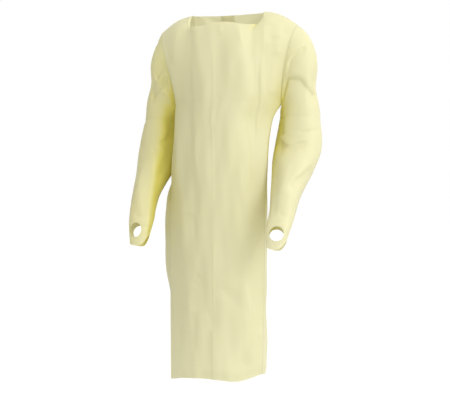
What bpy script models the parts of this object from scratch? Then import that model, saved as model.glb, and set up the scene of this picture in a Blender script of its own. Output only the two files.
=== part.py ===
"""Isolation gown, pulled on over the head, with thumb-hole cuffs: five cut pieces of thin sheet.

Metres, +Z up. The front of the gown faces -Y and the wearer's left is +X. The origin is the
middle of the neck opening, level with the two points where the shoulder seams meet it.
Every panel is a wall worked out from sections, seams and a few folds. Neighbours share the
points of their common seam and stay SEAM_GAP apart there.
"""
import math
from collections import namedtuple

import bmesh
import bpy
import numpy as np

# ---------------------------------------------------------------- driving dimensions
WALL = 0.0015                # thickness of the sheet
SEAM_GAP = 0.0003            # between two pieces at a seam
ARMPIT_GAP = 0.0015          # more where the sleeve folds back under the arm
LAP_GAP = 0.0006             # between the two back panels where one lies on the other
MITRE_LIMIT = 1.6            # how far the wall may stretch at a sharp seam

NECK_HALF = 0.1225           # neck point to centre
NECK_FRONT = 0.088           # how far the front neckline stands ahead of the neck points
NECK_BACK = 0.048
NECK_DROP_FRONT = 0.050
NECK_DROP_BACK = -0.003
SQUARE_FRONT = 0.66          # 1 is an ellipse, smaller is squarer
SQUARE_BACK = 0.80
NECK_FALL_DEPTH = 0.056      # the neckline is level from this far ahead
NECK_CORNER = 0.64           # share of half the neck edge where it turns up to the neck point
NECK_FULL_FRONT = 0.12       # how much further the cloth runs forward below the neck points
NECK_FULL_BACK = 0.08

SHOULDER_END = (0.232, 0.004, -0.050)
SHOULDER_CROWN = 0.011       # how far the shoulder seam bows up
ARMPIT_Z = -0.300
DRIFT_STEP = 0.005           # height over which the body's sideways run is read

LAP_HALF = 0.060             # half of the overlap at the centre back
LAP_HALF_NECK = 0.020        # and at the neck edge
LAP_SPREAD = 0.045           # height over which it widens
LAP_SHIFT = -0.018           # how far its middle lies from the centre line
LAP_RAMP = 0.05              # share of the back over which the upper panel lifts

# ---------------------------------------------------------------- mesh densities
FRONT_COLUMNS = 28
BACK_COLUMNS = 28
BACK_LAP_COLUMNS = 6         # of these, how many lie in the overlap
SHOULDER_COLUMNS = 6         # on each shoulder seam
YOKE_ROWS = 12               # from shoulder to armpit
SKIRT_ROWS = 16              # from armpit to hem
CAP_RINGS = 12               # sleeve head
SLEEVE_RINGS = 19            # from the upper arm to the cuff
HOLE_SIDES = 20

# ---------------------------------------------------------------- tables
# One row for each height below the armpits. The front runs seam to seam, seam_y is where the
# seams lie, and the back has a centre and a half width of its own.
Section = namedtuple("Section", "z front_x front_half seam_y front_y back_x back_half back_y")
SECTIONS = (
    Section(-0.300, 0.004, 0.1790, -0.020, -0.126, 0.003, 0.172, 0.106),
    Section(-0.345, -0.006, 0.1670, -0.036, -0.129, -0.012, 0.151, 0.100),
    Section(-0.400, -0.009, 0.1610, -0.052, -0.133, -0.016, 0.148, 0.096),
    Section(-0.500, -0.010, 0.1600, -0.074, -0.138, -0.026, 0.156, 0.094),
    Section(-0.560, -0.009, 0.1580, -0.084, -0.144, -0.046, 0.178, 0.098),
    Section(-0.640, -0.009, 0.1580, -0.090, -0.151, -0.054, 0.186, 0.106),
    Section(-0.760, -0.009, 0.1580, -0.092, -0.157, -0.055, 0.187, 0.120),
    Section(-0.900, -0.010, 0.1570, -0.092, -0.160, -0.046, 0.180, 0.116),
    Section(-1.040, -0.012, 0.1550, -0.090, -0.162, -0.024, 0.164, 0.106),
    Section(-1.200, -0.013, 0.1540, -0.088, -0.164, -0.016, 0.156, 0.098),
)
# Height of the hem, from the wearer's right seam, -1, to the left seam, 1.
HemPoint = namedtuple("HemPoint", "across front back")
HEM = (
    HemPoint(-1.0, -1.183, -1.183),
    HemPoint(-0.6, -1.169, -1.176),
    HemPoint(-0.2, -1.164, -1.170),
    HemPoint(0.2, -1.166, -1.166),
    HemPoint(0.6, -1.170, -1.168),
    HemPoint(1.0, -1.152, -1.152),
)
FRONT_POWER = 2.5            # how flat the front is between its seams
BACK_POWER = 2.5
SEAM_TURN = 0.15 * math.pi   # the back bends to its side seams within this angle
FRONT_HALF_GIRTH = 0.18      # seam to centre along the cloth
BACK_HALF_GIRTH = 0.27

# One row for each ring below the sleeve head, at the wearer's left; the right arm is given
# on the same side and turned over.
Ring = namedtuple("Ring", "x y z half_width half_depth")
LEFT_RINGS = (
    Ring(0.2350, 0.016, -0.350, 0.0650, 0.056),
    Ring(0.2330, 0.000, -0.430, 0.0740, 0.058),
    Ring(0.2270, -0.045, -0.500, 0.0680, 0.055),
    Ring(0.2210, -0.105, -0.585, 0.0480, 0.046),
    Ring(0.2180, -0.150, -0.655, 0.0390, 0.036),
    Ring(0.2140, -0.180, -0.700, 0.0385, 0.026),
    Ring(0.2120, -0.198, -0.758, 0.0320, 0.017),
)
RIGHT_RINGS = (
    Ring(0.2360, 0.012, -0.350, 0.0570, 0.056),
    Ring(0.2390, -0.010, -0.430, 0.0650, 0.058),
    Ring(0.2380, -0.050, -0.500, 0.0600, 0.055),
    Ring(0.2440, -0.105, -0.585, 0.0425, 0.046),
    Ring(0.2410, -0.150, -0.655, 0.0400, 0.036),
    Ring(0.2380, -0.172, -0.700, 0.0380, 0.027),
    Ring(0.2360, -0.186, -0.752, 0.0320, 0.018),
)
# How the cuff's edge rises from its lowest point, outside and inside, over the last rings, and
# how far out the sleeve head stands at the shoulder and bows to the front and back.
Finish = namedtuple("Finish", "rise_outside rise_inside rise_rings head_stand head_bow")
LEFT_FINISH = Finish(0.026, 0.014, 4, 0.44, 0.12)
RIGHT_FINISH = Finish(0.010, 0.034, 4, 0.14, 0.17)
RING_POWER = 2.2

# Thumb holes, cut through both layers of the flattened cuff.
Hole = namedtuple("Hole", "x y z half_width half_height turn tilt")
LEFT_HOLE = Hole(0.2120, -0.187, -0.712, 0.0220, 0.0225, 14.0, 11.0)
RIGHT_HOLE = Hole(0.2460, -0.178, -0.704, 0.0185, 0.0230, 8.0, 11.0)

# Main folds of the body: across is -1 at the wearer's right seam and 1 at the left one.
Fold = namedtuple("Fold", "across_top z_top across_end z_end half_width depth")
FRONT_FOLDS = (
    Fold(-0.36, -0.16, -0.30, -0.50, 0.016, -0.0050),
    Fold(0.26, -0.16, 0.34, -0.60, 0.018, -0.0045),
    Fold(0.62, -0.14, 0.66, -0.72, 0.016, -0.0040),
    Fold(-0.10, -0.30, -0.06, -1.17, 0.018, 0.0030),
    Fold(0.94, -0.96, 0.52, -1.18, 0.022, -0.0060),
    Fold(-0.78, -0.62, -0.70, -1.10, 0.020, -0.0040),
)
BACK_FOLDS = (
    Fold(-0.62, -0.20, -0.54, -0.80, 0.020, -0.0050),
    Fold(0.58, -0.22, 0.62, -0.95, 0.022, -0.0050),
    Fold(-0.40, -0.60, -0.46, -1.18, 0.022, 0.0050),
    Fold(0.36, -0.70, 0.30, -1.18, 0.022, 0.0050),
)
# Folds round a sleeve: turn is the angle round it, 0 outside, 90 in front, 180 inside; along is
# 0 at the armhole and 1 at the cuff, slope is the change of along over half a turn.
Crease = namedtuple("Crease", "turn along slope half_turn half_along depth")
LEFT_CREASES = (
    Crease(350.0, 0.26, 0.00, 80.0, 0.070, -0.0150),
    Crease(80.0, 0.25, -0.05, 80.0, 0.034, -0.0070),
    Crease(70.0, 0.50, 0.02, 75.0, 0.036, -0.0070),
    Crease(150.0, 0.54, -0.04, 55.0, 0.034, -0.0060),
    Crease(260.0, 0.48, 0.04, 75.0, 0.036, -0.0060),
)
RIGHT_CREASES = (
    Crease(15.0, 0.22, 0.00, 80.0, 0.070, -0.0130),
    Crease(70.0, 0.27, -0.08, 85.0, 0.034, -0.0070),
    Crease(80.0, 0.52, -0.04, 70.0, 0.036, -0.0060),
    Crease(260.0, 0.48, 0.04, 75.0, 0.036, -0.0060),
)

SHEET_COLOURS = {
    "front_panel": (0.86, 0.84, 0.63),
    "back_panel_left": (0.83, 0.80, 0.58),
    "back_panel_right": (0.80, 0.77, 0.55),
    "sleeve_left": (0.88, 0.86, 0.64),
    "sleeve_right": (0.82, 0.79, 0.57),
}
SHEET_ROUGHNESS = 0.55


# ---------------------------------------------------------------- curves and tables
def smoothstep(value):
    t = np.clip(value, 0.0, 1.0)
    return t * t * (3.0 - 2.0 * t)


def read_table(rows, column, at, key):
    """Smooth curve through one column of a table, as a function of its key column."""
    keys = np.array([getattr(row, key) for row in rows])
    values = np.array([getattr(row, column) for row in rows])
    if keys[0] > keys[-1]:
        keys, values = keys[::-1], values[::-1]
    slopes = np.gradient(values, keys)
    at = np.clip(at, keys[0], keys[-1])
    i = np.clip(np.searchsorted(keys, at, side="right") - 1, 0, len(keys) - 2)
    step = keys[i + 1] - keys[i]
    t = (at - keys[i]) / step
    return hermite(values[i], slopes[i] * step, values[i + 1], slopes[i + 1] * step, t)


def hermite(start, start_pull, end, end_pull, t):
    """Cubic from start to end; the pulls are its slopes there."""
    t2, t3 = t * t, t * t * t
    return (start * (2 * t3 - 3 * t2 + 1) + start_pull * (t3 - 2 * t2 + t)
            + end * (3 * t2 - 2 * t3) + end_pull * (t3 - t2))


def along_line(points, fractions):
    """Points at the given shares of a polyline's length."""
    points = np.asarray(points)
    lengths = np.linalg.norm(np.diff(points, axis=0), axis=1)
    reach = np.concatenate(([0.0], np.cumsum(lengths)))
    at = np.asarray(fractions) * reach[-1]
    return np.stack([np.interp(at, reach, points[:, k]) for k in range(3)], axis=1)


def unit(vectors):
    return vectors / np.maximum(np.linalg.norm(vectors, axis=-1, keepdims=True), 1e-9)


def signed_power(value, power):
    return np.sign(value) * np.abs(value) ** power


# ---------------------------------------------------------------- seams and edges
def neckline(reach, drop, steps=64):
    """Half of a neck edge, from the centre to the wearer's left neck point."""
    turn = np.linspace(math.pi / 2, 0.0, steps)
    squareness = SQUARE_FRONT if reach < 0 else SQUARE_BACK
    x = NECK_HALF * np.cos(turn).clip(0) ** squareness
    y = reach * np.sin(turn).clip(0) ** squareness
    fall = min(abs(reach), NECK_FALL_DEPTH)
    return np.stack([x, y, -drop * smoothstep(np.abs(y) / fall)], axis=1)


def shoulder_seam(share):
    """From the neck point, share 0, to the top of the armhole, share 1."""
    start, end = np.array([NECK_HALF, 0.0, 0.0]), np.array(SHOULDER_END)
    share = np.asarray(share)[:, None]
    line = start + (end - start) * share
    line[:, 2] += SHOULDER_CROWN * np.sin(math.pi * share[:, 0])
    return line


def top_edge(across, neck_share, reach, drop):
    """Neck edge in the middle and a shoulder seam on each side, for across from -1 to 1."""
    across = np.asarray(across)
    size = np.abs(across)
    on_neck = along_line(neckline(reach, drop), np.clip(size / neck_share, 0, 1))
    on_seam = shoulder_seam(np.clip((size - neck_share) / (1 - neck_share), 0, 1))
    edge = np.where((size <= neck_share)[:, None], on_neck, on_seam)
    edge[:, 0] *= np.sign(across)
    return edge


def hem_height(across, side):
    """Height of the hem, across from -1 at the wearer's right seam to 1 at the left."""
    return read_table(HEM, "front" if side < 0 else "back", across, "across")


# ---------------------------------------------------------------- body sections
def front_ring(across, z):
    """Front of the body at heights z, one height for each column."""
    row = {name: read_table(SECTIONS, name, z, "z") for name in Section._fields[1:]}
    x = row["front_x"] + row["front_half"] * across
    y = row["seam_y"] + (row["front_y"] - row["seam_y"]) * (1 - np.abs(across) ** FRONT_POWER)
    return np.stack([x, y, z], axis=1)


def back_ring(across, z):
    """Back of the body, from the wearer's right seam to the left, evenly spaced."""
    points = []
    turn = np.linspace(math.pi, 0.0, 96)
    for share, height in zip(across, z):
        row = {name: float(read_table(SECTIONS, name, height, "z")) for name in Section._fields[1:]}
        x = row["back_x"] + row["back_half"] * signed_power(np.cos(turn), 2 / BACK_POWER)
        y = row["seam_y"] + (row["back_y"] - row["seam_y"]) * np.sin(turn).clip(0) ** (2 / BACK_POWER)
        for side in (-1, 1):
            seam_x = row["front_x"] + side * row["front_half"]
            miss = seam_x - (row["back_x"] + side * row["back_half"])
            near = 1 - np.abs(turn - (0 if side > 0 else math.pi)) / SEAM_TURN
            x += miss * smoothstep(near)
        line = np.stack([x, y, np.full_like(x, height)], axis=1)
        points.append(along_line(line, [(share + 1) / 2])[0])
    return np.array(points)


def yoke_pulls(across, neck_share, side, drift):
    """Directions in which the cloth leaves the top edge and reaches the armpit ring."""
    size = np.abs(across)
    to_corner = smoothstep(size / (NECK_CORNER * neck_share))
    past_corner = (size / neck_share - NECK_CORNER) / (1 - NECK_CORNER)
    on_shoulder = np.clip(past_corner, 0, 1)
    past_neck = smoothstep((size - neck_share) / (1 - neck_share))
    fullness = NECK_FULL_FRONT if side < 0 else NECK_FULL_BACK
    forward = 0.07 + 0.05 * to_corner + on_shoulder * (0.09 + fullness * (1 - past_neck))
    down = 0.22 - 0.015 * to_corner - 0.145 * on_shoulder
    spread = np.sign(across) * (0.055 * smoothstep(past_corner) - 0.075 * past_neck)
    pull_top = np.stack([spread, side * forward, -down], axis=1)
    near_seam = smoothstep((size - 0.55) / 0.45)
    sideways = 0.22 * drift * (1 - smoothstep((size - 0.30) / 0.45))
    pull_ring = np.stack([sideways, -side * 0.10 * near_seam, -0.22 - 0.02 * near_seam], axis=1)
    return pull_top, pull_ring


def front_columns():
    """Columns of the front for each row: gathered to the shoulders above, even below."""
    even = np.linspace(-1, 1, FRONT_COLUMNS + 1)
    neck_share = even[-1 - SHOULDER_COLUMNS]
    spread = np.sign(even) * np.interp(np.abs(even), (0, NECK_CORNER * neck_share, neck_share, 1),
                                       (0, 0.60, 0.76, 1))
    rows = [even] + [spread] * YOKE_ROWS
    for k in range(1, SKIRT_ROWS + 1):
        rows.append(spread + (even - spread) * smoothstep(k / SKIRT_ROWS / 0.5))
    return np.array(rows)


def body_half(across_rows, side, reach, drop, ring_at):
    """Grid of points for the front (side -1) or the back (side 1), shoulders first."""
    across = across_rows[0]
    neck_share = across[-1 - SHOULDER_COLUMNS]
    armpit_z = np.full(len(across), ARMPIT_Z)
    ring = ring_at(across_rows[YOKE_ROWS], armpit_z)
    below = ring_at(across_rows[YOKE_ROWS], armpit_z - DRIFT_STEP)
    top = top_edge(across, neck_share, reach, drop)
    pulls = yoke_pulls(across, neck_share, side, (below[:, 0] - ring[:, 0]) / DRIFT_STEP)
    rows = [hermite(top, pulls[0], ring, pulls[1], share)
            for share in np.linspace(0.0, 1.0, YOKE_ROWS + 1)]
    for k in range(1, SKIRT_ROWS + 1):
        share = k / SKIRT_ROWS
        shares = across_rows[YOKE_ROWS + k]
        rows.append(ring_at(shares, ARMPIT_Z + (hem_height(shares, side) - ARMPIT_Z) * share))
    return np.array(rows)


# ---------------------------------------------------------------- walls
def grid_normals(grid, closed=False):
    """Unit normals of a grid of points; closed means the columns run all the way round."""
    if closed:
        across = np.roll(grid, -1, axis=1) - np.roll(grid, 1, axis=1)
    else:
        across = np.gradient(grid, axis=1)
    down = np.gradient(grid, axis=0)
    return unit(np.cross(down, across))


def apply_folds(grid, normals, across_rows, folds, half_girth):
    """Pushes the folds in or out, along the normals."""
    lift = np.zeros(grid.shape[:2])
    for fold in folds:
        share = (grid[:, :, 2] - fold.z_top) / (fold.z_end - fold.z_top)
        middle = fold.across_top + (fold.across_end - fold.across_top) * share
        away = (across_rows - middle) * half_girth / fold.half_width
        ends = smoothstep(share / 0.25) * smoothstep((1.06 - share) / 0.25)
        lift += fold.depth * np.exp(-away ** 2) * ends
    keep = smoothstep((1 - np.abs(across_rows)) / 0.08)
    top = smoothstep(np.arange(grid.shape[0])[:, None] / 2.0)
    return grid + normals * (lift * keep * top)[:, :, None]


def wall_vectors(normals_a, normals_b):
    """Shared direction through the wall where two pieces meet at an angle."""
    middle = unit(normals_a + normals_b)
    spread = np.sum(middle * normals_a, axis=-1, keepdims=True).clip(1 / MITRE_LIMIT, 1)
    return middle / spread


def shell(name, outer, through, closed):
    """A closed wall: the outer grid, the same grid moved in, and rims between them. Both faces
    of the wall are split along the same diagonals, so that it keeps its thickness."""
    rows, columns = outer.shape[:2]
    points = np.concatenate([outer.reshape(-1, 3), (outer - WALL * through).reshape(-1, 3)])
    inner_start = rows * columns
    faces = []
    wrap = columns if closed else columns - 1
    for i in range(rows - 1):
        for j in range(wrap):
            k = (j + 1) % columns
            a, b, c, d = i * columns + j, (i + 1) * columns + j, (i + 1) * columns + k, i * columns + k
            if np.linalg.norm(points[b] - points[d]) < np.linalg.norm(points[a] - points[c]):
                a, b, c, d = b, c, d, a
            for corners in ((a, b, c), (a, c, d)):
                faces.append(corners)
                faces.append(tuple(inner_start + v for v in reversed(corners)))
    edges = [[(0, j) for j in range(columns)], [(rows - 1, j) for j in reversed(range(columns))]]
    if closed:
        edges = [edge + edge[:1] for edge in edges]
    else:
        edges = [edges[0] + [(i, columns - 1) for i in range(1, rows)] + edges[1][1:]
                 + [(i, 0) for i in reversed(range(rows - 1))]]
    for edge in edges:
        for (i, j), (m, n) in zip(edge, edge[1:]):
            a, b = i * columns + j, m * columns + n
            faces.append((a, b, inner_start + b, inner_start + a))
    mesh = bpy.data.meshes.new(name)
    mesh.from_pydata(points.tolist(), [], faces)
    tidy = bmesh.new()
    tidy.from_mesh(mesh)
    bmesh.ops.recalc_face_normals(tidy, faces=tidy.faces)
    tidy.to_mesh(mesh)
    tidy.free()
    mesh.shade_smooth()
    mesh.set_sharp_from_angle(angle=math.radians(50))
    return bpy.data.objects.new(name, mesh)


def step_back(edge, inside, gap=SEAM_GAP):
    """Moves a seam edge towards the inside of its own piece."""
    return edge + gap * unit(inside - edge)


# ---------------------------------------------------------------- panels
def body_panels():
    """Points and wall directions of the whole front and the whole back, and the back's columns."""
    front_across = front_columns()
    back_across = back_columns()
    front = body_half(front_across, -1, -NECK_FRONT, NECK_DROP_FRONT, front_ring)
    back = body_half(back_across, 1, NECK_BACK, NECK_DROP_BACK, back_ring)
    front_normals = grid_normals(front)
    back_normals = -grid_normals(back)
    share_seams(front_normals, back_normals)
    front = apply_folds(front, front_normals, front_across, FRONT_FOLDS, FRONT_HALF_GIRTH)
    back = apply_folds(back, back_normals, back_across, BACK_FOLDS, BACK_HALF_GIRTH)
    return (front, front_normals), (back, back_normals), back_across


def back_columns():
    """Columns of the back for each row, the same in both panels where they overlap."""
    side = (BACK_COLUMNS - BACK_LAP_COLUMNS) // 2
    stops = np.array([0, SHOULDER_COLUMNS, side])
    places = np.concatenate([stops, BACK_COLUMNS - stops[::-1]])
    middle = LAP_SHIFT / BACK_HALF_GIRTH
    rows = []
    for k in range(YOKE_ROWS + SKIRT_ROWS + 1):
        depth = k / YOKE_ROWS * abs(ARMPIT_Z)
        lap = LAP_HALF_NECK + (LAP_HALF - LAP_HALF_NECK) * smoothstep(depth / LAP_SPREAD)
        lap = lap / BACK_HALF_GIRTH
        neck_point = 1 - (1 - lap) * SHOULDER_COLUMNS / side
        rows.append(np.interp(np.arange(BACK_COLUMNS + 1), places,
                              (-1, -neck_point, middle - lap, middle + lap, neck_point, 1)))
    return np.array(rows)


def share_seams(front_normals, back_normals):
    """Gives both halves the same wall direction along the side and shoulder seams."""
    rows = np.arange(YOKE_ROWS, YOKE_ROWS + SKIRT_ROWS + 1)
    for side in (1, -1):
        column = seam_column(side)
        shoulder = column - side * np.arange(SHOULDER_COLUMNS + 1)
        for place in ((rows, column), (0, shoulder)):
            both = wall_vectors(front_normals[place], back_normals[place])
            front_normals[place] = both
            back_normals[place] = both


def seam_column(side):
    """The column at the wearer's left seam for side 1, at the right seam for side -1."""
    return -1 if side > 0 else 0


def armhole_loop(front, back, side):
    """Closed loop of rows round one armhole: shoulder, front, armpit, back."""
    column = seam_column(side)
    return np.concatenate([front[:YOKE_ROWS + 1, column], back[YOKE_ROWS - 1:0:-1, column]])


def set_armhole(front, back, side, loop):
    """Writes a loop's values back to the two halves."""
    column = seam_column(side)
    front[:YOKE_ROWS + 1, column] = loop[:YOKE_ROWS + 1]
    back[YOKE_ROWS - 1:0:-1, column] = loop[YOKE_ROWS + 1:]
    back[0, column], back[YOKE_ROWS, column] = loop[0], loop[YOKE_ROWS]


def build_back(name, back, normals, across_rows, side):
    """One back panel, from its side seam to past the centre; the left one lies on top."""
    lap_end = (BACK_COLUMNS + BACK_LAP_COLUMNS) // 2
    columns = slice(BACK_COLUMNS - lap_end, None) if side > 0 else slice(0, lap_end + 1)
    grid, through, across = (a[:, columns].copy() for a in (back, normals, across_rows))
    if side > 0:
        lap = across_rows[:, lap_end][:, None]
        lift = (WALL + LAP_GAP) * smoothstep((lap + LAP_RAMP - across) / LAP_RAMP)
        grid += through * lift[:, :, None]
    seam = seam_column(side)
    next_in = -2 if side > 0 else 1
    grid[:, seam] = step_back(grid[:, seam], grid[:, next_in])
    grid[0] = step_back(grid[0], grid[1])
    return shell(name, grid, through, closed=False)


# ---------------------------------------------------------------- sleeves
def ring_points(rings, at, turns, side):
    """One ring of a sleeve, square to its path, at share at of the way down it."""
    depth = rings[0].z + (rings[-1].z - rings[0].z) * at
    centre, width, thick = ring_frame(rings, depth)
    ahead = ring_frame(rings, depth - 0.01)[0]
    behind = ring_frame(rings, depth + 0.01)[0]
    path = unit(ahead - behind)
    outward = unit(np.array([1.0, 0.0, 0.0]) - path[0] * path)
    forward = np.cross(path, outward)
    forward = forward if forward[1] < 0 else -forward
    cos, sin = np.cos(turns), np.sin(turns)
    points = (centre + width * signed_power(cos, 2 / RING_POWER)[:, None] * outward
              + thick * signed_power(sin, 2 / RING_POWER)[:, None] * forward)
    points[:, 0] *= side
    return points, path * np.array([side, 1, 1])


def ring_frame(rings, depth):
    values = {name: float(read_table(rings, name, depth, "z")) for name in Ring._fields if name != "z"}
    centre = np.array([values["x"], values["y"], depth])
    return centre, values["half_width"], values["half_depth"]


def cap_pulls(loop, low, side, finish):
    """Directions in which the sleeve leaves the armhole, flatter at the shoulder."""
    top, bottom = loop[:, 2].max(), loop[:, 2].min()
    height = (loop[:, 2] - bottom) / (top - bottom)
    bow = np.sin(math.pi * height) * np.sign(loop[:, 1] - SECTIONS[0].seam_y)
    side_lean = 0.30 + 0.35 * np.sin(math.pi * height) + finish.head_stand * height ** 2
    fall = -0.85 + 0.7 * finish.head_stand * height
    lean = np.stack([side * side_lean, finish.head_bow * bow, fall], axis=1)
    span = np.linalg.norm(low - loop, axis=1, keepdims=True)
    return unit(lean) * span * 0.95


def sleeve_grid(loop, rings, finish, side):
    """Rings of one sleeve, from the armhole to the cuff."""
    steps = np.linalg.norm(np.roll(loop, -1, axis=0) - loop, axis=1)
    turns = 2 * math.pi * np.concatenate(([0.0], np.cumsum(steps)[:-1])) / steps.sum()
    low, path = ring_points(rings, 0.0, turns, side)
    pull = cap_pulls(loop, low, side, finish)
    span = np.linalg.norm(low - loop, axis=1, keepdims=True)
    rows = [hermite(loop, pull, low, path * span, share)
            for share in np.linspace(0, 1, CAP_RINGS + 1)]
    for k in range(1, SLEEVE_RINGS + 1):
        ring, path = ring_points(rings, k / SLEEVE_RINGS, turns, side)
        cos = np.cos(turns)
        rise = np.where(cos > 0, finish.rise_outside, finish.rise_inside) * np.abs(cos) ** 2.5
        near_end = max(0.0, 1 - (SLEEVE_RINGS - k) / finish.rise_rings)
        rows.append(ring - path * (rise * near_end)[:, None])
    return np.array(rows), turns


def apply_creases(grid, normals, turns, creases):
    """Pushes the sleeve's folds in or out."""
    rows = grid.shape[0]
    along = np.linspace(0, 1, rows)[:, None]
    lift = np.zeros(grid.shape[:2])
    for crease in creases:
        turn = np.degrees(turns)[None, :] - crease.turn
        turn = (turn + 180) % 360 - 180
        middle = crease.along + crease.slope * turn / 90
        away = (along - middle) / crease.half_along
        lift += crease.depth * np.exp(-away ** 2) * smoothstep(1 - np.abs(turn) / crease.half_turn)
    keep = smoothstep(along / 0.08)
    return grid + normals * (lift * keep)[:, :, None]


def build_sleeve(name, loop, through, rings, finish, creases, side):
    """One sleeve, and the body's wall directions round the armhole, mitred to the sleeve's."""
    grid, turns = sleeve_grid(loop, rings, finish, side)
    normals = -side * grid_normals(grid, closed=True)
    grid = apply_creases(grid, normals, turns, creases)
    mitre = wall_vectors(through, normals[0])
    level = smoothstep(2 * np.sum(unit(through) * normals[0], axis=1, keepdims=True))
    body_side = through + (mitre - through) * level
    normals[0] += (mitre - normals[0]) * level
    grid[0] = step_back(grid[0], grid[1], SEAM_GAP + ARMPIT_GAP * (1 - level))
    return shell(name, grid, normals, closed=True), body_side


def thumb_cutter(name, hole, side):
    """An oval bar through the cuff, from the thumb side."""
    bpy.ops.mesh.primitive_cylinder_add(vertices=HOLE_SIDES, radius=1.0, depth=0.16)
    cutter = bpy.context.object
    cutter.name = name
    cutter.data.name = name
    across = bmesh.new()
    across.from_mesh(cutter.data)
    for vertex in across.verts:
        x, y, z = vertex.co
        vertex.co = (x * hole.half_width, z, y * hole.half_height)
    bmesh.ops.recalc_face_normals(across, faces=across.faces)
    across.to_mesh(cutter.data)
    across.free()
    cutter.rotation_euler = (math.radians(-hole.tilt), 0.0, math.radians(hole.turn))
    cutter.location = (side * hole.x, hole.y, hole.z)
    cutter.hide_render = True
    cutter.display_type = "WIRE"
    return cutter


def cut_hole(piece, cutter):
    cut = piece.modifiers.new("thumb_hole", "BOOLEAN")
    cut.operation = "DIFFERENCE"
    cut.solver = "EXACT"
    cut.object = cutter


# ---------------------------------------------------------------- scene
def sheet_material(name, colour):
    material = bpy.data.materials.new(name)
    material.use_nodes = True
    shader = material.node_tree.nodes["Principled BSDF"]
    shader.inputs["Base Color"].default_value = (*colour, 1.0)
    shader.inputs["Roughness"].default_value = SHEET_ROUGHNESS
    shader.inputs["Metallic"].default_value = 0.0
    material.diffuse_color = (*colour, 1.0)
    return material


def clear_scene():
    for item in list(bpy.data.objects):
        bpy.data.objects.remove(item, do_unlink=True)


def collection(name):
    group = bpy.data.collections.new(name)
    bpy.context.scene.collection.children.link(group)
    return group


def main():
    clear_scene()
    gown, cutters = collection("isolation_gown"), collection("cutters")
    (front, front_normals), (back, back_normals), back_across = body_panels()
    pieces = []
    for name, side, rings, finish, creases, hole in (
            ("sleeve_left", 1, LEFT_RINGS, LEFT_FINISH, LEFT_CREASES, LEFT_HOLE),
            ("sleeve_right", -1, RIGHT_RINGS, RIGHT_FINISH, RIGHT_CREASES, RIGHT_HOLE)):
        loop = armhole_loop(front, back, side)
        through = armhole_loop(front_normals, back_normals, side)
        sleeve, body_side = build_sleeve(name, loop, through, rings, finish, creases, side)
        set_armhole(front_normals, back_normals, side, body_side)
        cutter = thumb_cutter(name.replace("sleeve", "thumb_cutter"), hole, side)
        cutter.users_collection[0].objects.unlink(cutter)
        cutters.objects.link(cutter)
        cut_hole(sleeve, cutter)
        pieces.append(sleeve)
    pieces.append(shell("front_panel", front, front_normals, closed=False))
    pieces.append(build_back("back_panel_left", back, back_normals, back_across, 1))
    pieces.append(build_back("back_panel_right", back, back_normals, back_across, -1))
    for piece in pieces:
        gown.objects.link(piece)
        piece.data.materials.append(sheet_material(piece.name, SHEET_COLOURS[piece.name]))


main()
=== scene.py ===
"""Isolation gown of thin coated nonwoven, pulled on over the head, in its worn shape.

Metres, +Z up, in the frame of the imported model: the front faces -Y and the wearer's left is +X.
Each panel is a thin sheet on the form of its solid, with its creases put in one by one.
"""
import math
from collections import namedtuple

import bmesh
import bpy
import numpy as np
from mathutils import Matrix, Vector
from mathutils.bvhtree import BVHTree


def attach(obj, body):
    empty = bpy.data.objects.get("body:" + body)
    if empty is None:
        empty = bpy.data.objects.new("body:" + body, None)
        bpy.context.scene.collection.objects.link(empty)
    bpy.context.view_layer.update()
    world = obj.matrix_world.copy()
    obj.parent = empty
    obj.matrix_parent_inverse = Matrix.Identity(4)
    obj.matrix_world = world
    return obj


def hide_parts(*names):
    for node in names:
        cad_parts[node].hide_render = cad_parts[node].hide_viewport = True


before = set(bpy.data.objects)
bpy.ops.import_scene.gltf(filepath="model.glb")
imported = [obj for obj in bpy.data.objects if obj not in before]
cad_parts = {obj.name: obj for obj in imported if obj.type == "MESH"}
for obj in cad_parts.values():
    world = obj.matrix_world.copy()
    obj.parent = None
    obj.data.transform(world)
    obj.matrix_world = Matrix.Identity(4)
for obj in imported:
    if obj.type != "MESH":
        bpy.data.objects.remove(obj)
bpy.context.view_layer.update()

# ------------------------ the cut, as in the solids
NECK_HALF = 0.1225
NECK_FRONT, NECK_BACK = 0.088, 0.048
NECK_DROP_FRONT, NECK_DROP_BACK = 0.050, -0.003
SQUARE_FRONT, SQUARE_BACK = 0.66, 0.80
NECK_FALL_DEPTH = 0.056
NECK_CORNER = 0.64
NECK_FULL_FRONT, NECK_FULL_BACK = 0.12, 0.08
SHOULDER_END = (0.232, 0.004, -0.050)
SHOULDER_CROWN = 0.011
# Pulls with which the cloth leaves the top edge, in metres: in the middle, and what the neck's
# corners and the shoulder add or take. Then those with which it reaches the ring at the armpits.
FORWARD, FORWARD_CORNER, FORWARD_SHOULDER = 0.07, 0.05, 0.09
DOWN, DOWN_CORNER, DOWN_SHOULDER = 0.22, 0.015, 0.145
SPREAD_CORNER, SPREAD_SHOULDER = 0.055, 0.075
RING_DOWN, RING_DOWN_SEAM, RING_BACK_SEAM = 0.22, 0.02, 0.10
SEAM_START, DRIFT_START, PULL_RAMP = 0.55, 0.30, 0.45     # across, where those change
ARMPIT_Z = -0.300
DRIFT_STEP = 0.005
LAP_HALF, LAP_HALF_NECK, LAP_SPREAD, LAP_RAMP = 0.060, 0.020, 0.045, 0.05
LAP_SHIFT = -0.018
LAP_LIFT = 0.0014            # the upper back panel above the lower one

# The solids' columns and rings, between which the finer ones here lie, and how far across the
# front's columns are drawn at the neck's corners and at the neck points.
FRONT_COLUMNS = BACK_COLUMNS = 28
BACK_LAP_COLUMNS, SHOULDER_COLUMNS = 6, 6
CAP_RINGS, SLEEVE_RINGS = 12, 19
CORNER_ACROSS, NECK_ACROSS, DRAWN_SHARE = 0.60, 0.76, 0.5

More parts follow.
